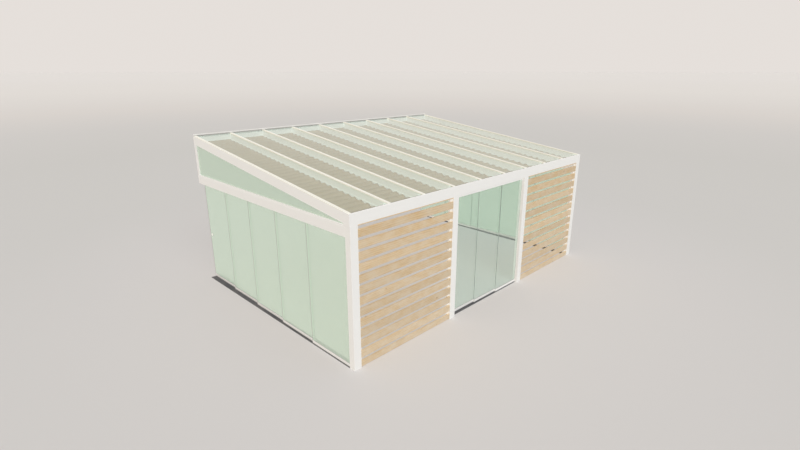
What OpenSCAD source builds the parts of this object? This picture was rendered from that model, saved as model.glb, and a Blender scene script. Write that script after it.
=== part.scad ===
// Lean-to patio cover: an aluminium frame with a glass roof, fabric shades under
// the glass, two slatted front bays and sliding glass walls on three sides.
// Millimetres. +X runs right along the front, +Y points into the house wall, +Z is up.
// The origin is the middle of the wall profile's back face.
// The modules work above the ground, with Y = 0 at the front face of the posts,
// and on_wall() moves each piece to that origin.

/* [Cover] */
// Width over the corner posts
width = 7000; // [6400:10:7600]
// Depth from the front face of the posts to the house wall
depth = 4960; // [4400:10:5400]
// Height of the gutter's top edge above the ground
front_height = 2510; // [2450:5:2700]
// Roof pitch in degrees
roof_pitch = 7.2; // [5:0.1:9]

/* [Posts and gutter] */
// Width of a post along the front
post_w = 142; // [132:1:160]
// Depth of a post
post_d = 115; // [100:1:135]
// Height of the gutter beam
gutter_h = 178; // [150:1:200]
// Depth of the gutter beam
gutter_d = 140; // [136:1:180]
// Width of the gutter's front lip
lip_w = 42; // [20:1:50]
// Thickness of the plates that close the gutter's ends
end_plate = 6; // [3:1:10]

/* [Roof] */
// Number of rafters
rafter_count = 10; // [8:1:12]
// Width of a rafter and of its cap
rafter_w = 60; // [50:1:80]
// Height of a rafter from its underside to the top of its cap
rafter_h = 175; // [150:1:180]
// Thickness of a rafter's cap
cap_t = 14; // [10:1:20]
// Thickness of the roof and gable glass
roof_glass_t = 10; // [8:1:12]
// Depth of the wall profile
wall_profile_d = 60; // [50:1:90]
// Height of the wall profile below the roof's top line
wall_profile_h = 190; // [180:1:220]

/* [Side beams] */
// Underside of the top guide on the sides, above the ground
side_clear_h = 2150; // [2050:5:2200]
// Height of a side beam, without the bead on it
side_beam_h = 110; // [90:1:130]
// Height of the top guides for the glass doors
guide_h = 45; // [40:1:60]

/* [Slatted bays] */
// Distance between the gaps of the slats
slat_pitch = 179; // [150:1:200]
// Gap between two slats
slat_gap = 60; // [30:1:70]
// Thickness of a slat
slat_t = 36; // [30:1:44]
// Middle of the lowest gap above the ground
first_gap = 136; // [110:1:170]
// Distance from the front of the posts to the slats
slat_setback = 6; // [2:1:20]
// Width of the rails that carry the slats
slat_rail_w = 40; // [30:1:60]
// Depth of the rails that carry the slats
slat_rail_d = 30; // [20:1:40]

/* [Glass doors] */
// Number of panels on each side
side_panels = 5; // [4:1:5]
// Number of panels in the front bay
front_panels = 3; // [2:1:3]
// Distance between two lanes of the tracks
lane_pitch = 24; // [23:0.5:26]
// Thickness of a panel's bottom rail
door_rail_t = 18; // [16:1:18]
// Height of a panel's bottom rail
door_rail_h = 50; // [40:1:60]
// Thickness of a door's glass
door_glass_t = 10; // [8:1:10]
// Length by which closed panels overlap
panel_overlap = 30; // [25:1:40]
// Diameter of a finger pull
pull_d = 56; // [45:1:65]
// Height of a finger pull's middle above the ground
pull_h = 1000; // [900:10:1100]

/* [Shades] */
// Distance from the roof's top line to the shades' upper side
shade_drop = 132; // [122:1:138]
// Height of the space that a hanging shade fills
shade_h = 34; // [20:1:36]
// Gap between a shade and the rafters beside it
shade_side_gap = 11; // [8:1:20]

/* [Hidden] */
half_w = width / 2;
gutter_low = front_height - gutter_h;
wall_lip_w = 20;
wall_lip_rise = 24;
wall_lip_y = depth - wall_lip_w;
wall_low = roof_z(depth) - wall_profile_h;
bay_w = (width - 4 * post_w) / 3;

rafter_pitch = (width - rafter_w) / (rafter_count - 1);
rafter_back = depth - wall_profile_d;
web_half = 6;
web_overlap = 5;
cap_front = lip_w + 2;
cap_back = wall_lip_y - 9;

hairline = 0.2;
glass_gap = 0.5;
glass_side_gap = 2;
glass_top_drop = cap_t + glass_gap;
glass_low_drop = glass_top_drop + roof_glass_t;
glass_seat_drop = glass_low_drop + glass_gap;
glass_front = lip_w + 22;
glass_back = wall_lip_y - 4;

seal_front = cap_back + hairline;
seal_back = wall_lip_y - hairline;
seal_rise = 8;

shade_rail_w = 8;
shade_rail_h = 12;
shade_rail_end_gap = 15;
shade_front_gap = 20;
shade_back_gap = 8;

trough_low = gutter_low + 70;
gutter_back_t = 16;
gutter_back_top = front_height - 50;

side_beam_low = side_clear_h + guide_h;
bead_low = side_beam_low + side_beam_h;
bead_inset = 3;
gable_glass_in = 24;

slat_low = 10;
slat_high = gutter_low - 6;
slat_end_gap = 2;
top_slat_min = 8;
gap_count = floor((slat_high - first_gap - slat_gap / 2 - top_slat_min) / slat_pitch) + 1;

side_margin = 4;
front_track_y = 44;
track_base_t = 5;
track_lip_w = 3;
track_lip_h = 14;
rib_w = 5;
rib_h = 8;
door_low = track_base_t + rib_h + 6;
door_glass_low = door_low + door_rail_h;
slot_h = 30;
slot_w = door_glass_t + 10;
glass_in_slot = 20;
door_end_gap = 5;
pull_t = 4;
pull_edge = 65;

side_run = depth - post_d;
side_panel_l = (side_run - 2 * door_end_gap + (side_panels - 1) * panel_overlap) / side_panels;
side_stride = side_panel_l - panel_overlap;
front_panel_l = (bay_w - 2 * door_end_gap + (front_panels - 1) * panel_overlap) / front_panels;
front_stride = front_panel_l - panel_overlap;

origin_h = (wall_low + roof_z(depth) + wall_lip_rise) / 2;

white = "#ecebe7";
mint = [0.72, 0.83, 0.75, 0.5];
oak = "#cbaa7a";
anthracite = "#4b4d50";
taupe = "#b6ab95";

SIDES = ["left", "right"];

// Height of the roof's top line at a distance y behind the front
function roof_z(y) = front_height + y * tan(roof_pitch);
function rafter_x(i) = -half_w + rafter_w / 2 + i * rafter_pitch;

module on_wall() {
    translate([0, -depth, -origin_h]) children();
}

// Turns an outline drawn in Y and Z into a bar that runs along X
module along_x(from, to) {
    translate([from, 0, 0]) rotate([90, 0, 90]) linear_extrude(to - from) children();
}

// Outline of a strip that follows the roof's pitch, between two drops below its top line
module roof_strip(front, back, top_drop, low_drop) {
    polygon([[front, roof_z(front) - low_drop], [back, roof_z(back) - low_drop],
             [back, roof_z(back) - top_drop], [front, roof_z(front) - top_drop]]);
}

// Shows its children on the left side, or mirrored on the right side
module on_side(side) {
    mirror([side == "right" ? 1 : 0, 0, 0]) translate([-half_w, 0, 0]) children();
}

// The profile has a sloping seat for the glass and a lip behind it
module wall_profile() {
    top = roof_z(depth) + wall_lip_rise;
    on_wall() color(white) along_x(-half_w, half_w)
        polygon([[rafter_back, wall_low], [depth, wall_low], [depth, top], [wall_lip_y, top],
                 [wall_lip_y, roof_z(wall_lip_y) - glass_seat_drop],
                 [rafter_back, roof_z(rafter_back) - glass_seat_drop]]);
}

// The seal lies on the glass, between the caps' back ends and the wall profile's lip
module wall_seal() {
    on_wall() color(anthracite)
        along_x(-half_w, half_w) roof_strip(seal_front, seal_back, -seal_rise, cap_t);
}

module gutter() {
    on_wall() color(white) along_x(-half_w, half_w)
        polygon([[0, gutter_low], [gutter_d, gutter_low], [gutter_d, gutter_back_top],
                 [gutter_d - gutter_back_t, gutter_back_top],
                 [gutter_d - gutter_back_t, trough_low], [lip_w, trough_low],
                 [lip_w, front_height], [0, front_height]]);
}

module gutter_end_plates() {
    on_wall() color(white)
        for (x = [-half_w - end_plate, half_w])
            along_x(x, x + end_plate)
                polygon([[0, gutter_low], [gutter_d, gutter_low],
                         [gutter_d, roof_z(gutter_d)], [0, front_height]]);
}

module post(left_x) {
    on_wall() color(white) translate([left_x, 0, 0]) cube([post_w, post_d, gutter_low]);
}

module rafters() {
    on_wall() color(white)
        for (i = [0:rafter_count - 1]) {
            x = rafter_x(i);
            outer_left = i == 0 ? rafter_w / 2 : web_half;
            outer_right = i == rafter_count - 1 ? rafter_w / 2 : web_half;
            union() {
                along_x(x - rafter_w / 2, x + rafter_w / 2)
                    roof_strip(gutter_d, rafter_back, glass_seat_drop, rafter_h);
                along_x(x - outer_left, x + outer_right)
                    roof_strip(gutter_d, rafter_back, cap_t + hairline, glass_seat_drop + web_overlap);
            }
        }
}

module rafter_caps() {
    on_wall() color(white)
        for (i = [0:rafter_count - 1])
            along_x(rafter_x(i) - rafter_w / 2, rafter_x(i) + rafter_w / 2)
                roof_strip(cap_front, cap_back, 0, cap_t);
}

module roof_glass() {
    on_wall() color(mint)
        for (i = [0:rafter_count - 2])
            along_x(rafter_x(i) + web_half + glass_side_gap,
                    rafter_x(i + 1) - web_half - glass_side_gap)
                roof_strip(glass_front, glass_back, glass_top_drop, glass_low_drop);
}

// Ledges on both sides of each bay, which the shades hang from
module shade_rails() {
    on_wall() color(white)
        for (i = [0:rafter_count - 2], x = [rafter_x(i) + rafter_w / 2,
                                           rafter_x(i + 1) - rafter_w / 2 - shade_rail_w])
            along_x(x, x + shade_rail_w)
                roof_strip(gutter_d + shade_rail_end_gap, rafter_back - shade_rail_end_gap,
                           shade_drop, shade_drop + shade_rail_h);
}

module shades() {
    on_wall() color(taupe)
        for (i = [0:rafter_count - 2])
            along_x(rafter_x(i) + rafter_w / 2 + shade_side_gap,
                    rafter_x(i + 1) - rafter_w / 2 - shade_side_gap)
                roof_strip(gutter_d + shade_front_gap, rafter_back - shade_back_gap,
                           shade_drop, shade_drop + shade_h);
}

// The side beam carries a bead, set back a little, that holds the gable glass
module side_beam(side) {
    on_wall() color(white) on_side(side) union() {
        translate([0, post_d, side_beam_low]) cube([post_w, side_run, side_beam_h]);
        translate([bead_inset, post_d, bead_low - 1])
            cube([rafter_w - bead_inset, side_run, gutter_low - bead_low + 1]);
    }
}

// A triangular pane between the side beam, the outer rafter and the gable post
module gable_glass(side) {
    top_drop = rafter_h + glass_gap;
    on_wall() color(mint) on_side(side)
        along_x(gable_glass_in, gable_glass_in + roof_glass_t)
            polygon([[gutter_d, gutter_low], [rafter_back, gutter_low],
                     [rafter_back, roof_z(rafter_back) - top_drop],
                     [gutter_d, roof_z(gutter_d) - top_drop]]);
}

// The upright stands on the side beam, under the wall profile
module gable_post(side) {
    on_wall() color(white) on_side(side)
        translate([0, rafter_back, gutter_low])
            cube([rafter_w, wall_profile_d, wall_low - gutter_low - hairline]);
}

// Slats between one post and the next, cut to fit at the ground and under the gutter
module slats(side) {
    low_edges = [slat_low, for (n = [0:gap_count - 1]) first_gap + n * slat_pitch + slat_gap / 2];
    high_edges = [for (n = [0:gap_count - 1]) first_gap + n * slat_pitch - slat_gap / 2, slat_high];
    on_wall() color(oak) on_side(side)
        for (n = [0:gap_count])
            translate([post_w + slat_end_gap, slat_setback, low_edges[n]])
                cube([bay_w - 2 * slat_end_gap, slat_t, high_edges[n] - low_edges[n]]);
}

module slat_rails() {
    on_wall() color(white)
        for (side = SIDES) on_side(side)
            for (x = [post_w, post_w + bay_w - slat_rail_w])
                translate([x, slat_setback + slat_t, slat_low])
                    cube([slat_rail_w, slat_rail_d, slat_high - slat_low]);
}

// Width of a track or guide, and the middle of a lane in it, counted from the outer one
function lanes_w(lanes) = lanes * lane_pitch + 2 * side_margin;
function lane_x(lane) = side_margin + (lane + 0.5) * lane_pitch;

// Floor track with a lip along each edge and one running rib for each lane. It is drawn
// along Y, with the lanes side by side in X. Each lip and rib is a solid of its own, a hair
// above the base, so that the channels between them stay open.
module track(length, lanes) {
    foot = track_base_t + hairline;
    cube([lanes_w(lanes), length, track_base_t]);
    for (x = [0, lanes_w(lanes) - track_lip_w])
        translate([x, 0, foot]) cube([track_lip_w, length, track_lip_h - foot]);
    for (lane = [0:lanes - 1])
        translate([lane_x(lane) - rib_w / 2, 0, foot])
            cube([rib_w, length, track_base_t + rib_h - foot]);
}

// Top guide with an open slot for each lane, drawn the same way: a top plate, and under it
// a wall on each side of every slot
module guide(length, lanes) {
    translate([0, 0, slot_h]) cube([lanes_w(lanes), length, guide_h - slot_h]);
    for (wall = [0:lanes]) {
        from = wall == 0 ? 0 : lane_x(wall - 1) + slot_w / 2;
        to = wall == lanes ? lanes_w(lanes) : lane_x(wall) - slot_w / 2;
        translate([from, 0, 0]) cube([to - from, length, slot_h - hairline]);
    }
}

// Turns what is drawn along Y into the front bay, with its outer lane at the front
module in_front_bay() {
    translate([-bay_w / 2, front_track_y, 0]) rotate([0, 0, 90]) mirror([0, 1, 0]) children();
}

module side_track(side) {
    on_wall() color(anthracite) on_side(side)
        translate([0, post_d, 0]) track(side_run, side_panels);
}

module side_guide(side) {
    on_wall() color(white) on_side(side)
        translate([0, post_d, side_clear_h]) guide(side_run, side_panels);
}

module front_track() {
    on_wall() color(anthracite) in_front_bay() track(bay_w, front_panels);
}

module front_guide() {
    on_wall() color(white) in_front_bay()
        translate([0, 0, gutter_low - guide_h]) guide(bay_w, front_panels);
}

// One door's glass and its bottom rail, drawn along Y in their lane
module door_glass(lane, start, length, clear_h) {
    translate([lane_x(lane) - door_glass_t / 2, start, door_glass_low])
        cube([door_glass_t, length, clear_h + glass_in_slot - door_glass_low]);
}

module door_rail(lane, start, length) {
    translate([lane_x(lane) - door_rail_t / 2, start, door_low])
        cube([door_rail_t, length, door_rail_h]);
}

// Side panels count from the front, and the front panel runs in the outer lane
module side_door(side, i, part) {
    start = post_d + door_end_gap + (i - 1) * side_stride;
    on_wall() on_side(side) {
        if (part == "glass") color(mint) door_glass(i - 1, start, side_panel_l, side_clear_h);
        if (part == "rail") color(white) door_rail(i - 1, start, side_panel_l);
    }
}

// Front panels count from the left, and the left one runs in the inner lane
module front_door(i, part) {
    start = door_end_gap + (i - 1) * front_stride;
    lane = front_panels - i;
    on_wall() in_front_bay() {
        if (part == "glass")
            color(mint) door_glass(lane, start, front_panel_l, gutter_low - guide_h);
        if (part == "rail") color(white) door_rail(lane, start, front_panel_l);
    }
}

// Round finger pulls on both faces of the rearmost side panel, near the wall
module door_pull(side) {
    middle = lane_x(side_panels - 1);
    on_wall() color(white) on_side(side)
        for (x = [middle - door_glass_t / 2 - pull_t, middle + door_glass_t / 2])
            translate([x, depth - door_end_gap - pull_edge, pull_h])
                rotate([0, 90, 0]) cylinder(h = pull_t, d = pull_d, $fn = 64);
}

wall_profile();
wall_seal();
gutter();
gutter_end_plates();
post(-half_w);  // corner_post_left
post(-half_w + post_w + bay_w);  // middle_post_left
post(half_w - 2 * post_w - bay_w);  // middle_post_right
post(half_w - post_w);  // corner_post_right
rafters();
rafter_caps();
roof_glass();
shade_rails();
shades();
slat_rails();
front_track();
front_guide();
for (side = SIDES) {
    side_beam(side);
    gable_glass(side);
    gable_post(side);
    slats(side);
    side_track(side);
    side_guide(side);
    door_pull(side);
}
for (side = SIDES, i = [1:side_panels], part = ["glass", "rail"]) {
    side_door(side, i, part);
}
for (i = [1:front_panels], part = ["glass", "rail"]) {
    front_door(i, part);
}
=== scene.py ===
import math
import bmesh
import bpy
import numpy as np
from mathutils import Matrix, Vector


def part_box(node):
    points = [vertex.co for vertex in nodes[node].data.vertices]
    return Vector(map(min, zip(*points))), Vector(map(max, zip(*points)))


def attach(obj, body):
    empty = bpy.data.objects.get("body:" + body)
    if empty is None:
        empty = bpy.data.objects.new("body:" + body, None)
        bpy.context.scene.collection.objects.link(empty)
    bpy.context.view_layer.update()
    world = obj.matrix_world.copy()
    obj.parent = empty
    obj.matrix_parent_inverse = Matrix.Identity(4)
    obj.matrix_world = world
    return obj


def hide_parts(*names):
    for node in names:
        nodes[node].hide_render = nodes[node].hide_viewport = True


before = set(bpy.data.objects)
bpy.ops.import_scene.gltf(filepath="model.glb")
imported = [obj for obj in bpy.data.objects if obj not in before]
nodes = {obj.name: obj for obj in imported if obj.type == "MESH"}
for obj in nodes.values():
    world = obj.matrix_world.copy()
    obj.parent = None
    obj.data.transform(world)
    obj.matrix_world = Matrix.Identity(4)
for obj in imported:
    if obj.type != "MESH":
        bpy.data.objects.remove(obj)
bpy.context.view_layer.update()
scene = bpy.context.scene
print("frame loaded,", len(nodes), "nodes")


# all vertices of a CAD node, as rows of x, y and z
def nodePoints(name):
    mesh = nodes[name].data
    flat = np.empty(len(mesh.vertices) * 3, np.float32)
    mesh.vertices.foreach_get("co", flat)
    return flat.reshape(-1, 3).astype(float)


# the different values of one coordinate of a node in order, which are its edges along that axis
def edgesAlong(name, axis, perSolid=2):
    values = np.unique(nodePoints(name)[:, axis].round(4))
    return values.reshape(-1, perSolid)


capPoints = nodePoints("rafter_caps")
capFront = capPoints[capPoints[:, 1] < capPoints[:, 1].min() + 1e-4]
capBack = capPoints[capPoints[:, 1] > capPoints[:, 1].max() - 1e-4]
roofSlope = (capBack[:, 2].max() - capFront[:, 2].max()) / (capBack[0, 1] - capFront[0, 1])
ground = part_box("corner_post_left")[0].z


# height of the roof's top line: a straight line that rises with y
def roofTop(y):
    return capFront[:, 2].max() + (y - capFront[0, 1]) * roofSlope


# front end, back end and least distance below the roof's top line of a sloping node
def slabOf(name):
    points = nodePoints(name)
    drop = roofTop(points[:, 1]) - points[:, 2]
    return points[:, 1].min(), points[:, 1].max(), drop.min()


cameraSet = {
    "place": (-7.4624, -9.8988, 1.3409),
    "tilt": 72.095,
    "turn": -45.04,
    "lens": 21.517,
    "sensor": 36.0,
    "nearest": 0.05,
    "farthest": 2000.0,
}


def makeCamera(s):
    data = bpy.data.cameras.new("gardenView")
    data.lens = s["lens"]
    data.sensor_width = s["sensor"]
    data.clip_start = s["nearest"]
    data.clip_end = s["farthest"]
    camera = bpy.data.objects.new("gardenView", data)
    camera.location = s["place"]
    camera.rotation_euler = (math.radians(s["tilt"]), 0, math.radians(s["turn"]))
    scene.collection.objects.link(camera)
    scene.camera = camera


# A sun's name, where it comes from, its strength, its angle, its colour, and whether it casts
# shadows. The fill suns cast none, so the room under the roof stays as light as the outside,
# and they aren't seen in glass or paint.
lightSet = {
    "worldColor": (1.0, 0.985, 0.965),
    "worldStrength": 0.40,
    "backColor": (0.787, 0.742, 0.706),
    "suns": [
        ("keySun", (-0.25, -0.85, 0.60), 0.20, 35, (1.0, 0.985, 0.975), True),
        ("warmSun", (-1.0, 0.05, 0.25), 0.07, 60, (1.0, 0.72, 0.45), True),
        ("fillLeft", (-1.0, 0.0, 0.12), 0.11, 20, (1.0, 0.80, 0.60), False),
        ("fillFront", (-0.50, -0.75, 0.45), 0.36, 20, (0.985, 1.0, 1.0), False),
        ("fillBack", (0.50, 0.75, 0.45), 0.25, 20, (1.0, 0.985, 0.965), False),
        ("fillTop", (0.0, 0.0, 1.0), 0.20, 20, (1.0, 0.985, 0.965), False),
    ],
}


def sunLamp(name, toward, strength, angle, color, shadows):
    data = bpy.data.lights.new(name, "SUN")
    data.use_shadow = shadows
    data.energy = strength * math.pi
    data.angle = math.radians(angle)
    data.color = color
    lamp = bpy.data.objects.new(name, data)
    lamp.visible_glossy = shadows
    lamp.visible_transmission = shadows
    direction = np.array(toward) / np.linalg.norm(toward)
    lamp.rotation_euler = (math.acos(direction[2]), 0, math.atan2(direction[0], -direction[1]))
    scene.collection.objects.link(lamp)


def makeLight(s):
    world = bpy.data.worlds.new("studio")
    world.use_nodes = True
    scene.world = world
    tree = world.node_tree
    tree.nodes.clear()
    out = tree.nodes.new("ShaderNodeOutputWorld")
    lit = tree.nodes.new("ShaderNodeBackground")
    seen = tree.nodes.new("ShaderNodeBackground")
    mix = tree.nodes.new("ShaderNodeMixShader")
    path = tree.nodes.new("ShaderNodeLightPath")
    anySight = tree.nodes.new("ShaderNodeMath")
    anySight.operation = "MAXIMUM"
    withGlass = tree.nodes.new("ShaderNodeMath")
    withGlass.operation = "MAXIMUM"
    lit.inputs["Color"].default_value = (*s["worldColor"], 1)
    lit.inputs["Strength"].default_value = s["worldStrength"]
    seen.inputs["Color"].default_value = (*s["backColor"], 1)
    seen.inputs["Strength"].default_value = 1.0
    links = tree.links
    links.new(path.outputs["Is Camera Ray"], anySight.inputs[0])
    links.new(path.outputs["Is Transmission Ray"], anySight.inputs[1])
    links.new(anySight.outputs[0], withGlass.inputs[0])
    links.new(path.outputs["Is Glossy Ray"], withGlass.inputs[1])
    links.new(withGlass.outputs[0], mix.inputs[0])
    links.new(lit.outputs[0], mix.inputs[1])
    links.new(seen.outputs[0], mix.inputs[2])
    links.new(mix.outputs[0], out.inputs[0])
    for sun in s["suns"]:
        sunLamp(*sun)


# The floor's colour goes from ring to ring: (distance from the middle, colour).
groundSet = {
    "half": 1500.0,
    "below": 0.001,
    "middle": (0.0, -2.5, 0.0),
    "reach": 300.0,
    "roughness": 0.9,
    "gloss": 0.1,
    "rings": [(4, (0.655, 0.640, 0.632)), (7, (0.625, 0.610, 0.603)), (10, (0.600, 0.590, 0.577)),
              (22, (0.592, 0.582, 0.566)), (35, (0.615, 0.600, 0.586)), (55, (0.680, 0.650, 0.626)),
              (78, (0.712, 0.686, 0.662)), (112, (0.738, 0.712, 0.686)), (290, (0.757, 0.732, 0.712))],
}


def makeGround(s):
    h = s["half"]
    corners = np.array([[-h, -h], [h, -h], [h, h], [-h, h]])
    points = np.column_stack([corners, np.full(4, ground - s["below"])])
    mesh = bpy.data.meshes.new("ground")
    mesh.from_pydata(points.tolist(), [], [[0, 1, 2, 3]])
    floor = bpy.data.objects.new("ground", mesh)
    scene.collection.objects.link(floor)
    material = bpy.data.materials.new("groundPaint")
    material.use_nodes = True
    tree = material.node_tree
    shader = tree.nodes["Principled BSDF"]
    shader.inputs["Roughness"].default_value = s["roughness"]
    shader.inputs["Specular IOR Level"].default_value = s["gloss"]
    coords = tree.nodes.new("ShaderNodeTexCoord")
    length = tree.nodes.new("ShaderNodeVectorMath")
    length.operation = "DISTANCE"
    length.inputs[1].default_value = s["middle"]
    share = tree.nodes.new("ShaderNodeMath")
    share.operation = "DIVIDE"
    share.inputs[1].default_value = s["reach"]
    ramp = tree.nodes.new("ShaderNodeValToRGB")
    tree.links.new(coords.outputs["Object"], length.inputs[0])
    tree.links.new(length.outputs["Value"], share.inputs[0])
    tree.links.new(share.outputs[0], ramp.inputs[0])
    tree.links.new(ramp.outputs["Color"], shader.inputs["Base Color"])
    stops = ramp.color_ramp.elements
    while len(stops) < len(s["rings"]):
        stops.new(0.5)
    for number, (far, color) in enumerate(s["rings"]):
        stops[number].position = far / s["reach"]
        stops[number].color = (*color, 1)
    mesh.materials.append(material)


makeCamera(cameraSet)
makeLight(lightSet)
makeGround(groundSet)
scene.view_settings.view_transform = "Standard"
print("camera, light and ground made")


# a node with its plain input values set by name or number
def addNode(tree, kind, values=None, **settings):
    node = tree.nodes.new(kind)
    for key, value in settings.items():
        setattr(node, key, value)
    for key, value in (values or {}).items():
        node.inputs[key].default_value = value
    return node


# a node group with named sockets: {name: (socket type, default)} in, {name: socket type} out
def newGroup(name, takes, gives):
    group = bpy.data.node_groups.new(name, "ShaderNodeTree")
    for label, (kind, value) in takes.items():
        socket = group.interface.new_socket(label, in_out="INPUT", socket_type=kind)
        socket.default_value = value
    for label, kind in gives.items():
        group.interface.new_socket(label, in_out="OUTPUT", socket_type=kind)
    start = group.nodes.new("NodeGroupInput")
    end = group.nodes.new("NodeGroupOutput")
    return group, start, end


def newMaterial(name):
    material = bpy.data.materials.new(name)
    material.use_nodes = True
    return material, material.node_tree, material.node_tree.nodes["Principled BSDF"]


def placeGroup(tree, group, values):
    node = tree.nodes.new("ShaderNodeGroup")
    node.node_tree = group
    for key, value in values.items():
        node.inputs[key].default_value = value
    return node


# powder coat: fine orange peel for the bump, and a broad soft mottling that shifts the
# colour a little towards dust and the roughness up or down
mottleSet = {"scale": 1.6, "from": 0.35, "to": 0.75, "smoother": -0.06, "rougher": 0.08}


def powderCoatGroup(s):
    group, start, end = newGroup(
        "powderCoat",
        {"Paint": ("NodeSocketColor", (0.8, 0.8, 0.8, 1)), "Dust": ("NodeSocketColor", (0.6, 0.55, 0.5, 1)),
         "Dust Amount": ("NodeSocketFloat", 0.1), "Roughness": ("NodeSocketFloat", 0.45),
         "Peel Scale": ("NodeSocketFloat", 900.0)},
        {"Color": "NodeSocketColor", "Roughness": "NodeSocketFloat", "Height": "NodeSocketFloat"})
    coords = addNode(group, "ShaderNodeTexCoord")
    broad = addNode(group, "ShaderNodeTexNoise", {"Scale": s["scale"], "Detail": 5.0, "Roughness": 0.6})
    peel = addNode(group, "ShaderNodeTexNoise", {"Detail": 2.0, "Roughness": 0.5})
    level = addNode(group, "ShaderNodeMapRange", {"From Min": s["from"], "From Max": s["to"]})
    amount = addNode(group, "ShaderNodeMath", operation="MULTIPLY")
    blend = addNode(group, "ShaderNodeMix", data_type="RGBA")
    shift = addNode(group, "ShaderNodeMapRange", {"To Min": s["smoother"], "To Max": s["rougher"]})
    rough = addNode(group, "ShaderNodeMath", operation="ADD")
    links = group.links
    links.new(coords.outputs["Object"], broad.inputs["Vector"])
    links.new(coords.outputs["Object"], peel.inputs["Vector"])
    links.new(start.outputs["Peel Scale"], peel.inputs["Scale"])
    links.new(broad.outputs["Fac"], level.inputs["Value"])
    links.new(level.outputs["Result"], amount.inputs[0])
    links.new(start.outputs["Dust Amount"], amount.inputs[1])
    links.new(amount.outputs[0], blend.inputs["Factor"])
    links.new(start.outputs["Paint"], blend.inputs["A"])
    links.new(start.outputs["Dust"], blend.inputs["B"])
    links.new(broad.outputs["Fac"], shift.inputs["Value"])
    links.new(shift.outputs["Result"], rough.inputs[0])
    links.new(start.outputs["Roughness"], rough.inputs[1])
    links.new(blend.outputs["Result"], end.inputs["Color"])
    links.new(rough.outputs[0], end.inputs["Roughness"])
    links.new(peel.outputs["Fac"], end.inputs["Height"])
    return group


# pane colour: the tint on the two faces, turning to the deeper edge colour where the
# surface normal stands across the pane's own axis
def paneTintGroup():
    group, start, end = newGroup(
        "paneTint",
        {"Pane": ("NodeSocketColor", (0.8, 0.95, 0.85, 1)), "Edge": ("NodeSocketColor", (0.1, 0.3, 0.2, 1)),
         "Axis": ("NodeSocketVector", (1, 0, 0))},
        {"Color": "NodeSocketColor"})
    coords = addNode(group, "ShaderNodeTexCoord")
    along = addNode(group, "ShaderNodeVectorMath", operation="DOT_PRODUCT")
    size = addNode(group, "ShaderNodeMath", operation="ABSOLUTE")
    blend = addNode(group, "ShaderNodeMix", data_type="RGBA")
    links = group.links
    links.new(coords.outputs["Normal"], along.inputs[0])
    links.new(start.outputs["Axis"], along.inputs[1])
    links.new(along.outputs["Value"], size.inputs[0])
    links.new(size.outputs[0], blend.inputs["Factor"])
    links.new(start.outputs["Edge"], blend.inputs["A"])
    links.new(start.outputs["Pane"], blend.inputs["B"])
    links.new(blend.outputs["Result"], end.inputs["Color"])
    return group


powderCoat = powderCoatGroup(mottleSet)
paneTint = paneTintGroup()


def paintedMaterial(name, s):
    material, tree, shader = newMaterial(name)
    coat = placeGroup(tree, powderCoat, {
        "Paint": (*s["paint"], 1), "Dust": (*s["dust"], 1), "Dust Amount": s["dustAmount"],
        "Roughness": s["roughness"], "Peel Scale": s["peelScale"]})
    bump = addNode(tree, "ShaderNodeBump", {"Strength": s["peel"], "Distance": s["peelDepth"]})
    tree.links.new(coat.outputs["Color"], shader.inputs["Base Color"])
    tree.links.new(coat.outputs["Roughness"], shader.inputs["Roughness"])
    tree.links.new(coat.outputs["Height"], bump.inputs["Height"])
    tree.links.new(bump.outputs["Normal"], shader.inputs["Normal"])
    return material


# tinted glass with a faint milky share; lamps and diffuse light pass straight through it as
# through a plain film
def glassMaterial(name, s, axis):
    material, tree, shader = newMaterial(name)
    tint = placeGroup(tree, paneTint, {"Pane": (*s["pane"], 1), "Edge": (*s["edge"], 1), "Axis": axis})
    tree.links.new(tint.outputs["Color"], shader.inputs["Base Color"])
    shader.inputs["Roughness"].default_value = s["roughness"]
    shader.inputs["IOR"].default_value = s["ior"]
    shader.inputs["Transmission Weight"].default_value = s["through"]
    clear = addNode(tree, "ShaderNodeBsdfTransparent", {"Color": (*s["film"], 1)})
    path = addNode(tree, "ShaderNodeLightPath")
    either = addNode(tree, "ShaderNodeMath", operation="MAXIMUM")
    mix = addNode(tree, "ShaderNodeMixShader")
    out = tree.nodes["Material Output"]
    tree.links.new(path.outputs["Is Shadow Ray"], either.inputs[0])
    tree.links.new(path.outputs["Is Diffuse Ray"], either.inputs[1])
    tree.links.new(either.outputs[0], mix.inputs[0])
    tree.links.new(shader.outputs[0], mix.inputs[1])
    tree.links.new(clear.outputs[0], mix.inputs[2])
    tree.links.new(mix.outputs[0], out.inputs["Surface"])
    return material


frameSet = {"paint": (0.87, 0.87, 0.855), "dust": (0.70, 0.66, 0.60), "dustAmount": 0.06,
            "roughness": 0.42, "peelScale": 900.0, "peel": 0.15, "peelDepth": 0.0004}
# the rafter caps are the frame white tinted cream: a painted warm light on their tops
capWarmLitSet = {**frameSet, "paint": (0.88, 0.87, 0.79)}
trackSet = {"paint": (0.085, 0.088, 0.095), "dust": (0.35, 0.33, 0.31), "dustAmount": 0.35,
            "roughness": 0.55, "peelScale": 700.0, "peel": 0.2, "peelDepth": 0.0004}
sealSet = {"paint": (0.40, 0.40, 0.385), "dust": (0.40, 0.39, 0.36), "dustAmount": 0.25,
           "roughness": 0.8, "peelScale": 1200.0, "peel": 0.3, "peelDepth": 0.0004}
roofGlassSet = {"pane": (0.855, 1.0, 0.95), "edge": (0.60, 0.80, 0.70), "film": (0.985, 0.992, 0.978),
                "roughness": 0.02, "ior": 1.5, "through": 1.0}
sideGlassSet = {"pane": (0.78, 0.92, 0.81), "edge": (0.22, 0.36, 0.29), "film": (0.975, 0.99, 0.975),
                "roughness": 0.02, "ior": 1.5, "through": 0.64}
gableGlassSet = {"pane": (0.70, 0.83, 0.72), "edge": (0.60, 0.76, 0.66), "film": (0.975, 0.99, 0.975),
                 "roughness": 0.02, "ior": 1.5, "through": 0.64}
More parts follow.
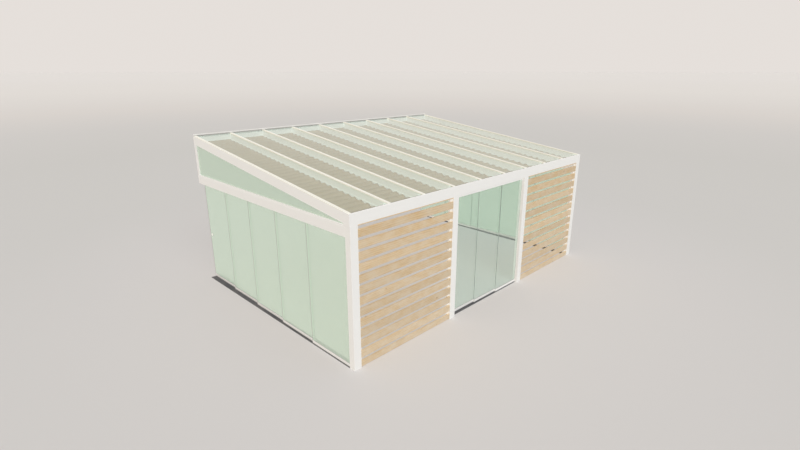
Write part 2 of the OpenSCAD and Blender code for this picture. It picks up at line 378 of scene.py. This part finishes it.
frontGlassSet = {"pane": (0.785, 0.915, 0.855), "edge": (0.95, 1.0, 0.97), "film": (0.975, 0.99, 0.975),
                 "roughness": 0.02, "ior": 1.3, "through": 0.92}

frameWhite = paintedMaterial("frameWhite", frameSet)
capWarmLitPaint = paintedMaterial("capWarmLitPaint", capWarmLitSet)
trackGrey = paintedMaterial("trackGrey", trackSet)
sealGrey = paintedMaterial("sealGrey", sealSet)
roofAxis = (0, -math.sin(math.atan(roofSlope)), math.cos(math.atan(roofSlope)))
roofPane = glassMaterial("roofPane", roofGlassSet, roofAxis)
sidePane = glassMaterial("sidePane", sideGlassSet, (1, 0, 0))
gablePane = glassMaterial("gablePane", gableGlassSet, (1, 0, 0))
frontPane = glassMaterial("frontPane", frontGlassSet, (0, 1, 0))


# light oak: the board coordinates run along X. Long thin noise makes the fibres, a bent wave
# makes the growth rings, and each board has its own place in the pattern and its own shade.
# The boards near the ground are weathered paler.
oakSet = {"light": (0.71, 0.54, 0.33), "dark": (0.50, 0.34, 0.17), "pale": (0.69, 0.60, 0.47),
          "knot": (0.30, 0.18, 0.09), "knotFrom": 0.03, "knotTo": 0.075, "knotShare": 0.75,
          "boardShift": (7.0, 3.0, 5.0), "ringWay": (1.2, 12.0, 12.0), "fibreWay": (6.0, 260.0, 260.0),
          "patchWay": (4.5, 9.0, 9.0), "knotWay": (3.0, 5.0, 5.0), "ringShare": 0.35,
          "patchFrom": 0.36, "patchTo": 0.62, "patchShare": 0.5, "darkest": 0.92, "lightest": 1.06,
          "fade": 0.25, "fadeLow": -2.9, "fadeHigh": -0.9,
          "roughness": 0.6, "fibre": 0.5}


def oakMaterial(name, s):
    material, tree, shader = newMaterial(name)
    links = tree.links
    coords = addNode(tree, "ShaderNodeTexCoord")
    board = addNode(tree, "ShaderNodeAttribute", attribute_name="board")
    away = addNode(tree, "ShaderNodeVectorMath", operation="SCALE")
    away.inputs[0].default_value = s["boardShift"]
    moved = addNode(tree, "ShaderNodeVectorMath", operation="ADD")
    links.new(board.outputs["Fac"], away.inputs["Scale"])
    links.new(coords.outputs["Object"], moved.inputs[0])
    links.new(away.outputs[0], moved.inputs[1])
    longWay = addNode(tree, "ShaderNodeMapping", {"Scale": s["ringWay"]})
    fineWay = addNode(tree, "ShaderNodeMapping", {"Scale": s["fibreWay"]})
    patchWay = addNode(tree, "ShaderNodeMapping", {"Scale": s["patchWay"]})
    knotWay = addNode(tree, "ShaderNodeMapping", {"Scale": s["knotWay"]})
    for way in (longWay, fineWay, patchWay, knotWay):
        links.new(moved.outputs[0], way.inputs["Vector"])
    rings = addNode(tree, "ShaderNodeTexWave", {"Scale": 0.9, "Distortion": 7.0, "Detail": 3.0,
                                               "Detail Scale": 1.4}, bands_direction="Z")
    fibres = addNode(tree, "ShaderNodeTexNoise", {"Scale": 1.0, "Detail": 4.0, "Roughness": 0.65})
    patches = addNode(tree, "ShaderNodeTexNoise", {"Scale": 1.0, "Detail": 4.0, "Roughness": 0.6})
    knots = addNode(tree, "ShaderNodeTexVoronoi", {"Scale": 1.0, "Randomness": 1.0})
    links.new(longWay.outputs[0], rings.inputs["Vector"])
    links.new(fineWay.outputs[0], fibres.inputs["Vector"])
    links.new(patchWay.outputs[0], patches.inputs["Vector"])
    links.new(knotWay.outputs[0], knots.inputs["Vector"])
    grain = addNode(tree, "ShaderNodeMath", {1: s["fibre"]}, operation="MULTIPLY")
    links.new(fibres.outputs["Fac"], grain.inputs[0])
    joined = addNode(tree, "ShaderNodeMath", {1: s["ringShare"]}, operation="MULTIPLY_ADD")
    links.new(rings.outputs["Fac"], joined.inputs[0])
    links.new(grain.outputs[0], joined.inputs[2])
    ramp = addNode(tree, "ShaderNodeValToRGB")
    ramp.color_ramp.elements[0].position = 0.15
    ramp.color_ramp.elements[0].color = (*s["light"], 1)
    ramp.color_ramp.elements[1].position = 0.85
    ramp.color_ramp.elements[1].color = (*s["dark"], 1)
    links.new(joined.outputs[0], ramp.inputs[0])
    worn = addNode(tree, "ShaderNodeMix", {"B": (*s["pale"], 1)}, data_type="RGBA")
    wornShare = addNode(tree, "ShaderNodeMapRange", {"From Min": s["patchFrom"], "From Max": s["patchTo"],
                                                     "To Max": s["patchShare"]})
    place = addNode(tree, "ShaderNodeSeparateXYZ")
    lowShare = addNode(tree, "ShaderNodeMapRange", {"From Min": s["fadeLow"], "From Max": s["fadeHigh"],
                                                    "To Min": s["fade"], "To Max": 0.0})
    bothShare = addNode(tree, "ShaderNodeMath", operation="ADD")
    links.new(coords.outputs["Object"], place.inputs[0])
    links.new(place.outputs["Z"], lowShare.inputs["Value"])
    links.new(patches.outputs["Fac"], wornShare.inputs["Value"])
    links.new(wornShare.outputs["Result"], bothShare.inputs[0])
    links.new(lowShare.outputs["Result"], bothShare.inputs[1])
    links.new(bothShare.outputs[0], worn.inputs["Factor"])
    links.new(ramp.outputs["Color"], worn.inputs["A"])
    knotted = addNode(tree, "ShaderNodeMix", {"B": (*s["knot"], 1)}, data_type="RGBA")
    knotShare = addNode(tree, "ShaderNodeMapRange", {"From Min": s["knotFrom"], "From Max": s["knotTo"],
                                                     "To Min": s["knotShare"], "To Max": 0.0})
    links.new(knots.outputs["Distance"], knotShare.inputs["Value"])
    links.new(knotShare.outputs["Result"], knotted.inputs["Factor"])
    links.new(worn.outputs["Result"], knotted.inputs["A"])
    shade = addNode(tree, "ShaderNodeMapRange", {"To Min": s["darkest"], "To Max": s["lightest"]})
    links.new(board.outputs["Fac"], shade.inputs["Value"])
    toned = addNode(tree, "ShaderNodeVectorMath", operation="SCALE")
    links.new(knotted.outputs["Result"], toned.inputs[0])
    links.new(shade.outputs["Result"], toned.inputs["Scale"])
    links.new(toned.outputs[0], shader.inputs["Base Color"])
    rough = addNode(tree, "ShaderNodeMapRange", {"To Min": s["roughness"] - 0.1,
                                                 "To Max": s["roughness"] + 0.15})
    links.new(fibres.outputs["Fac"], rough.inputs["Value"])
    links.new(rough.outputs["Result"], shader.inputs["Roughness"])
    bump = addNode(tree, "ShaderNodeBump", {"Strength": 0.25, "Distance": 0.0006})
    links.new(fibres.outputs["Fac"], bump.inputs["Height"])
    links.new(bump.outputs["Normal"], shader.inputs["Normal"])
    return material


# awning cloth: warp and weft threads as two crossed waves over the sheet's own UV in metres,
# and a painted shade that darkens the cloth along each fold over a rod, standing in for the shading between
# the waves
fabricSet = {"cloth": (0.455, 0.345, 0.24), "thread": (0.41, 0.31, 0.21), "foldShade": (0.30, 0.22, 0.145),
             "foldShadeShare": 0.75, "roughness": 0.85, "threads": 350.0, "slubs": 9.0}


def fabricMaterial(name, s):
    material, tree, shader = newMaterial(name)
    links = tree.links
    uv = addNode(tree, "ShaderNodeUVMap", uv_map="cut")
    warp = addNode(tree, "ShaderNodeTexWave", {"Scale": s["threads"]}, bands_direction="X")
    weft = addNode(tree, "ShaderNodeTexWave", {"Scale": s["threads"]}, bands_direction="Y")
    slub = addNode(tree, "ShaderNodeTexNoise", {"Scale": s["slubs"], "Detail": 6.0, "Roughness": 0.7})
    links.new(uv.outputs[0], warp.inputs["Vector"])
    links.new(uv.outputs[0], weft.inputs["Vector"])
    links.new(uv.outputs[0], slub.inputs["Vector"])
    cross = addNode(tree, "ShaderNodeMath", operation="MULTIPLY")
    links.new(warp.outputs["Fac"], cross.inputs[0])
    links.new(weft.outputs["Fac"], cross.inputs[1])
    blend = addNode(tree, "ShaderNodeMix", {"A": (*s["cloth"], 1), "B": (*s["thread"], 1)}, data_type="RGBA")
    links.new(slub.outputs["Fac"], blend.inputs["Factor"])
    # painted shade: the cloth is darkened along the folds over the rods
    foldShade = addNode(tree, "ShaderNodeAttribute", attribute_name="foldShade")
    foldShadeShare = addNode(tree, "ShaderNodeMath", {1: s["foldShadeShare"]}, operation="MULTIPLY")
    foldShaded = addNode(tree, "ShaderNodeMix", {"B": (*s["foldShade"], 1)}, data_type="RGBA")
    links.new(foldShade.outputs["Fac"], foldShadeShare.inputs[0])
    links.new(foldShadeShare.outputs[0], foldShaded.inputs["Factor"])
    links.new(blend.outputs["Result"], foldShaded.inputs["A"])
    links.new(foldShaded.outputs["Result"], shader.inputs["Base Color"])
    shader.inputs["Roughness"].default_value = s["roughness"]
    bump = addNode(tree, "ShaderNodeBump", {"Strength": 0.2, "Distance": 0.0002})
    links.new(cross.outputs[0], bump.inputs["Height"])
    links.new(bump.outputs["Normal"], shader.inputs["Normal"])
    return material


oakWood = oakMaterial("oakWood", oakSet)
shadeCloth = fabricMaterial("shadeCloth", fabricSet)
print("materials made")


# a piece from points and faces, on a body, with its material
def addPiece(name, points, faces, material, body="root", closed=True, merge=False):
    mesh = bpy.data.meshes.new(name)
    mesh.from_pydata(points.tolist(), [], faces)
    if closed:
        solid = bmesh.new()
        solid.from_mesh(mesh)
        if merge:
            bmesh.ops.remove_doubles(solid, verts=solid.verts, dist=1e-6)
        bmesh.ops.recalc_face_normals(solid, faces=solid.faces)
        solid.to_mesh(mesh)
        solid.free()
    mesh.materials.append(material)
    piece = bpy.data.objects.new(name, mesh)
    scene.collection.objects.link(piece)
    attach(piece, body)
    return piece


# quads between neighbouring points of a grid with rows along u and columns along v
def gridFaces(rows, columns, first=0, closeColumns=False):
    u = np.arange(rows - 1)[:, None]
    v = np.arange(columns if closeColumns else columns - 1)[None, :]
    nextV = (v + 1) % columns
    quads = np.stack([u * columns + v, (u + 1) * columns + v,
                      (u + 1) * columns + nextV, u * columns + nextV], axis=-1)
    return (quads.reshape(-1, 4) + first).tolist()


# an outline with every corner rounded: the arc turns about a centre on the corner's bisector,
# at the distance radius / sin(half the corner's angle)
def roundedOutline(corners, radius, steps=3):
    corner = np.array(corners, float)
    toPrevious = np.roll(corner, 1, axis=0) - corner
    toNext = np.roll(corner, -1, axis=0) - corner
    toPrevious /= np.linalg.norm(toPrevious, axis=1)[:, None]
    toNext /= np.linalg.norm(toNext, axis=1)[:, None]
    half = np.arccos(np.clip((toPrevious * toNext).sum(1), -1, 1)) / 2
    bisector = toPrevious + toNext
    bisector /= np.linalg.norm(bisector, axis=1)[:, None]
    centre = corner + bisector * (radius / np.sin(half))[:, None]
    fromArm = corner + toPrevious * (radius / np.tan(half))[:, None] - centre
    toArm = corner + toNext * (radius / np.tan(half))[:, None] - centre
    turn = (math.pi - 2 * half)[:, None, None]
    share = np.linspace(0, 1, steps + 1)[None, :, None]
    arc = np.sin((1 - share) * turn) * fromArm[:, None] + np.sin(share * turn) * toArm[:, None]
    arc /= np.sin(turn)
    return (centre[:, None] + arc).reshape(-1, 2)


# an outline in two axes carried along a path, closed by a flat face at each end
def sweep(outline, path, across, upwards, first=0):
    outline = np.array(outline, float)
    path = np.array(path, float)
    ring = outline[:, :1] * np.array(across, float) + outline[:, 1:] * np.array(upwards, float)
    points = (path[:, None, :] + ring[None, :, :]).reshape(-1, 3)
    count = len(outline)
    faces = gridFaces(len(path), count, first, closeColumns=True)
    faces.append((np.arange(count) + first).tolist())
    faces.append((np.arange(count)[::-1] + first + (len(path) - 1) * count).tolist())
    return points, faces


# a profile of (distance, radius) turned about a line: distance runs along the line's axis, and
# the other two coordinates are radius times the cosine and the sine of the angle
def turned(profile, middle, axis, sides, first=0):
    profile = np.array(profile, float)
    angle = np.linspace(0, 2 * np.pi, sides, endpoint=False)
    rings = np.empty((len(profile), sides, 3))
    rings[:, :, axis] = profile[:, :1]
    rings[:, :, (axis + 1) % 3] = profile[:, 1:] * np.cos(angle)
    rings[:, :, (axis + 2) % 3] = profile[:, 1:] * np.sin(angle)
    points = rings.reshape(-1, 3) + np.array(middle, float)
    return points, gridFaces(len(profile), sides, first, closeColumns=True)


# several solids as one list of points and faces
def joinSolids(makers):
    allPoints, allFaces, first = [], [], 0
    for make in makers:
        points, faces = make(first)
        allPoints.append(points)
        allFaces += faces
        first += len(points)
    return np.concatenate(allPoints), allFaces


def smoothPiece(piece, angle=35):
    piece.data.shade_smooth()
    piece.data.set_sharp_from_angle(angle=math.radians(angle))
    even = piece.modifiers.new("evenNormals", "WEIGHTED_NORMAL")
    even.keep_sharp = True
    return piece


slatSet = {"edgeRadius": 0.0025, "pieces": 24, "seed": 11}


def makeSlats(side, s):
    node = "slats_" + side
    low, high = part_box(node)
    heights = edgesAlong(node, 2)
    across = np.linspace(low.x, high.x, s["pieces"])
    path = np.column_stack([across, np.zeros_like(across), np.zeros_like(across)])

    def board(bottom, top):
        corners = [(low.y, bottom), (high.y, bottom), (high.y, top), (low.y, top)]
        outline = roundedOutline(corners, s["edgeRadius"])
        return lambda first: sweep(outline, path, (0, 1, 0), (0, 0, 1), first)

    points, faces = joinSolids([board(bottom, top) for bottom, top in heights])
    piece = addPiece("oak_boards_" + side, points, faces, oakWood)
    tones = np.random.default_rng(s["seed"] + len(side)).random(len(heights))
    perBoard = np.repeat(tones, len(points) // len(heights)).astype(np.float32)
    piece.data.attributes.new("board", "FLOAT", "POINT").data.foreach_set("value", perBoard)
    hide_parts(node)
    return smoothPiece(piece)


for side in ("left", "right"):
    makeSlats(side, slatSet)
print("slats made")


# A shade hangs over rods that lie across the bay. Between two rods the cloth falls in a
# parabola, 4 sag t (1 - t), where t runs from 0 to 1 from rod to rod. The fold over a rod is
# rounded: the fall becomes the square root of (fall squared + bend squared), less bend.
# The mask of the painted fold shade is |2 t - 1| to a power, which is 1 over a rod.
shadeSet = {"wave": 0.158, "sag": 0.037, "bend": 0.0026, "perWave": 16, "acrossSteps": 12,
            "thickness": 0.0008, "uneven": 0.07, "belly": 0.05, "seed": 5, "foldShadePower": 5,
            "rodRadius": 0.004, "rodSides": 12, "rodInRail": 0.003}


def makeShades(s):
    front, back, dropTop = slabOf("shades")
    waves = round((back - front) * math.hypot(1, roofSlope) / s["wave"])
    random = np.random.default_rng(s["seed"])
    bays = edgesAlong("shades", 0)
    rails = edgesAlong("shade_rails", 0, 4)
    rods = []
    for number, (left, right) in enumerate(bays):
        along = np.linspace(0, waves, waves * s["perWave"] + 1)
        wave = np.minimum(along.astype(int), waves - 1)
        t = along - wave
        depth = s["sag"] * (1 + s["uneven"] * random.uniform(-1, 1, waves))[wave]
        y = front + (back - front) * along / waves
        u = np.linspace(0, 1, s["acrossSteps"] + 1)
        bow = 1 + s["belly"] * np.sin(np.pi * u)[None, :] * random.uniform(0.2, 1, waves)[wave][:, None]
        fall = (4 * depth * t * (1 - t))[:, None] * bow
        fall = np.sqrt(fall ** 2 + s["bend"] ** 2) - s["bend"]
        z = roofTop(y)[:, None] - dropTop - s["thickness"] - fall
        x = np.broadcast_to(left + (right - left) * u, z.shape)
        points = np.stack([x, np.broadcast_to(y[:, None], z.shape), z], axis=-1)
        piece = addPiece("shade_%d" % (number + 1), points.reshape(-1, 3),
                         gridFaces(len(y), len(u)), shadeCloth, closed=False)
        # painted shade mask, 1 over each rod, which darkens the cloth there
        foldShade = np.broadcast_to(np.abs(2 * t - 1)[:, None] ** s["foldShadePower"], z.shape)
        foldShadeMask = piece.data.attributes.new("foldShade", "FLOAT", "POINT")
        foldShadeMask.data.foreach_set("value", foldShade.astype(np.float32).ravel())
        run = np.concatenate([[0], np.cumsum(np.hypot(np.diff(y), np.diff(z.mean(1))))])
        cut = np.stack(np.broadcast_arrays(u[None, :] * (right - left), run[:, None]), axis=-1).reshape(-1, 2)
        corner = np.empty(len(piece.data.loops), np.int32)
        piece.data.loops.foreach_get("vertex_index", corner)
        piece.data.uv_layers.new(name="cut").data.foreach_set("uv", cut[corner].astype(np.float32).ravel())
        piece.data.shade_smooth()
        thick = piece.modifiers.new("cloth", "SOLIDIFY")
        thick.thickness = s["thickness"]
        thick.offset = 0
        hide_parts("shades")
        inner = (rails[number, 1] - s["rodInRail"], rails[number, 2] + s["rodInRail"])
        rods += [(*inner, place) for place in np.linspace(front, back, waves + 1)]
    angle = np.linspace(0, 2 * np.pi, s["rodSides"], endpoint=False)
    circle = s["rodRadius"] * np.column_stack([np.cos(angle), np.sin(angle)])

    def rod(left, right, y):
        z = roofTop(y) - dropTop - 2 * s["thickness"] - s["rodRadius"]
        return lambda first: sweep(circle, [(left, y, z), (right, y, z)], (0, 1, 0), (0, 0, 1), first)

    points, faces = joinSolids([rod(*r) for r in rods])
    smoothPiece(addPiece("shade_rods", points, faces, frameWhite), 50)


makeShades(shadeSet)
print("shades made")


# The tracks and guides are one extrusion each: a flat web with uprights, or slot walls, at the
# places where the frame has them. The outline goes up, over and down each upright in turn.
profileSet = {"radius": 0.0007, "steps": 3}


def laneProfile(name, across, upsideDown, material, s):
    points = nodePoints(name)
    along = 1 - across
    levels = np.unique(points[:, 2].round(4))
    webFace = levels[-1] - levels[-2] if upsideDown else levels[1] - levels[0]
    spans = np.unique(points[:, across].round(4))
    uprights = spans.reshape(-1, 2)
    low, high = points[:, 2].min(), points[:, 2].max()
    sides = []
    for number, (start, end) in enumerate(uprights):
        part = points[(points[:, across] > start - 1e-4) & (points[:, across] < end + 1e-4)]
        tip = part[:, 2].max() - low
        if upsideDown:
            tip = high - part[:, 2].min()
        sides += [(start, webFace)] if number else []
        sides += [(start, tip), (end, tip)]
        sides += [(end, webFace)] if number < len(uprights) - 1 else []
    outline = np.array([(spans[0], 0.0)] + sides + [(spans[-1], 0.0)])
    outline[:, 1] = high - outline[:, 1] if upsideDown else low + outline[:, 1]
    outline = roundedOutline(outline, s["radius"], s["steps"])
    path = np.zeros((2, 3))
    path[:, along] = points[:, along].min(), points[:, along].max()
    axes = np.eye(3)
    made, faces = sweep(outline, path, axes[across], axes[2])
    piece = addPiece(name + "_profile", made, faces, material)
    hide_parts(name)
    return smoothPiece(piece)


for side in ("left", "right"):
    laneProfile("side_track_" + side, 0, False, trackGrey, profileSet)
    laneProfile("side_guide_" + side, 0, True, frameWhite, profileSet)
laneProfile("front_track", 1, False, trackGrey, profileSet)
laneProfile("front_guide", 1, True, frameWhite, profileSet)
print("tracks and guides made")


# Each door gets two grooved rollers under its rail, and a soft bead along the foot of the glass
# on both faces. The side panels have such beads up their ends as well. A roller is a profile
# turned about the line across the door, and a bead is a profile carried along the glass.
rollerSet = {"fromEnd": 0.12, "radius": 0.009, "flange": 0.0012, "half": 0.0042, "groove": 0.0029,
             "lift": 0.0003, "rimDrop": 0.0006, "rimBevel": 0.0004, "grooveBevel": 0.0003, "sides": 32}
gasketSet = {"thick": 0.0028, "tip": 0.0006, "height": 0.0045, "endGap": 0.002, "inGuide": 0.045}


def doorAxes(door):
    across = 1 if "front" in door else 0
    return across, 1 - across


def trackOf(door):
    side = door.split("_")[1]
    return "front_track" if side == "front" else "side_track_" + side


def makeRollers(door, s):
    ribTop = np.unique(nodePoints(trackOf(door))[:, 2].round(4))[-2]
    low, high = (np.array(corner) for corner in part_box(door + "_rail"))
    across, along = doorAxes(door)
    r, wide, inner = s["radius"], s["half"], s["groove"]
    rim = r + s["flange"]
    bevel, slant = s["rimBevel"], s["grooveBevel"]
    half = [(wide, 0), (wide, rim - s["rimDrop"]), (wide - bevel, rim), (inner + slant, rim), (inner, r)]
    profile = [(-place, radius) for place, radius in half] + half[::-1]
    middle = (low + high) / 2
    middle[2] = ribTop + s["lift"] + r
    makers = []
    for place in (low[along] + s["fromEnd"], high[along] - s["fromEnd"]):
        spot = middle.copy()
        spot[along] = place
        makers.append(lambda first, spot=spot: turned(profile, spot, across, s["sides"], first))
    points, faces = joinSolids(makers)
    piece = addPiece(door + "_rollers", points, faces, trackGrey, body=door, merge=True)
    return smoothPiece(piece, 40)


def makeGasket(door, s):
    low, high = (np.array(corner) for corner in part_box(door + "_glass"))
    across, along = doorAxes(door)
    axes = np.eye(3)
    path = np.zeros((2, 3))
    path[:, along] = low[along] + s["endGap"], high[along] - s["endGap"]
    bead = np.array([(0, 0), (s["thick"], 0), (s["tip"], s["height"]), (0, s["height"])])
    makers = []
    for face, way in ((low[across], -1), (high[across], 1)):
        outline = np.column_stack([face + way * bead[:, 0], low[2] + bead[:, 1]])
        makers.append(lambda first, outline=outline: sweep(outline, path, axes[across], axes[2], first))
    rise = np.zeros((2, 3))
    rise[:, 2] = low[2] + 1.5 * s["height"], high[2] - s["inGuide"]
    uprights = [(low[across], -1, low[along], 1), (high[across], 1, low[along], 1),
                (low[across], -1, high[along], -1), (high[across], 1, high[along], -1)]
    for face, way, end, inward in uprights if "front" not in door else []:
        outline = np.column_stack([face + way * bead[:, 0], end + inward * bead[:, 1]])
        makers.append(lambda first, outline=outline: sweep(outline, rise, axes[across], axes[along], first))
    points, faces = joinSolids(makers)
    return smoothPiece(addPiece(door + "_gasket", points, faces, sealGrey, body=door), 30)


doors = [name[:-len("_rail")] for name in nodes if name.startswith("door_") and name.endswith("_rail")]
for door in doors:
    makeRollers(door, rollerSet)
    makeGasket(door, gasketSet)
print("rollers and gaskets made,", len(doors), "doors")


# A finger pull is a shallow cup on each face of the glass: its profile, from the rim on the
# glass over the rounded lip and down into the dish, is turned about the line through both.
pullSet = {"lip": 0.0045, "dish": 0.0011, "round": 0.0012, "slope": 0.004, "sides": 72}


def makePull(side, s):
    node = "door_pull_" + side
    door = "door_%s_5" % side
    low, high = (np.array(corner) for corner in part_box(node))
    glassLow, glassHigh = (np.array(corner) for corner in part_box(door + "_glass"))
    middle = (low + high) / 2
    radius = (high[1] - low[1]) / 2
    makers = []
    cups = ((glassLow[0], -1, glassLow[0] - low[0]), (glassHigh[0], 1, high[0] - glassHigh[0]))
    for face, way, tall in cups:
        bend = np.linspace(0, np.pi / 2, 5)
        outer = np.column_stack([tall - s["round"] * (1 - np.sin(bend)),
                                 radius - s["round"] * (1 - np.cos(bend))])
        inner = outer[::-1] * (1, -1) + (0, 2 * radius - s["lip"] - s["round"])
        edge = radius - s["lip"] - s["round"] - s["slope"]
        dip = np.linspace(0, np.pi / 2, 5)[1:]
        floor = np.column_stack([s["dish"] + (inner[-1, 0] - s["dish"]) * (1 - np.sin(dip)),
                                 edge + (inner[-1, 1] - edge) * np.cos(dip)])
        shape = np.concatenate([[(0, 0), (0, radius)], outer, inner, floor, [(s["dish"], 0)]])
        shape[:, 0] *= way
        spot = np.array([face, middle[1], middle[2]])
        makers.append(lambda first, shape=shape, spot=spot: turned(shape, spot, 0, s["sides"], first))
    points, faces = joinSolids(makers)
    piece = addPiece(node + "_cups", points, faces, frameWhite, body=door, merge=True)
    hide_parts(node)
    return smoothPiece(piece, 40)


for side in ("left", "right"):
    makePull(side, pullSet)
print("finger pulls made")


edgeSet = {"merge": 0.00002, "width": 0.0015, "steps": 2, "sharpest": 40}


# welds a CAD node's loose triangles and rounds its edges, with its own mesh left as it is
def softenEdges(name, s):
    weld = nodes[name].modifiers.new("weld", "WELD")
    weld.merge_threshold = s["merge"]
    bevel = nodes[name].modifiers.new("roundEdges", "BEVEL")
    bevel.width = s["width"]
    bevel.segments = s["steps"]
    bevel.limit_method = "ANGLE"
    bevel.angle_limit = math.radians(s["sharpest"])
    bevel.harden_normals = True


def finishNode(name, material, rounded=False):
    nodes[name].data.materials.clear()
    nodes[name].data.materials.append(material)
    if rounded:
        softenEdges(name, edgeSet)


for name in nodes:
    if name == "roof_glass":
        finishNode(name, roofPane)
    elif name.startswith("gable_glass"):
        finishNode(name, gablePane)
    elif name.endswith("_glass"):
        finishNode(name, frontPane if "front" in name else sidePane)
    elif "track" in name:
        finishNode(name, trackGrey)
    elif name == "wall_seal":
        finishNode(name, sealGrey)
    elif name == "rafter_caps":
        # the caps get the cream copy of the frame white, a painted warm light
        finishNode(name, capWarmLitPaint, rounded=True)
    else:
        finishNode(name, frameWhite, rounded=True)
print("frame finished")
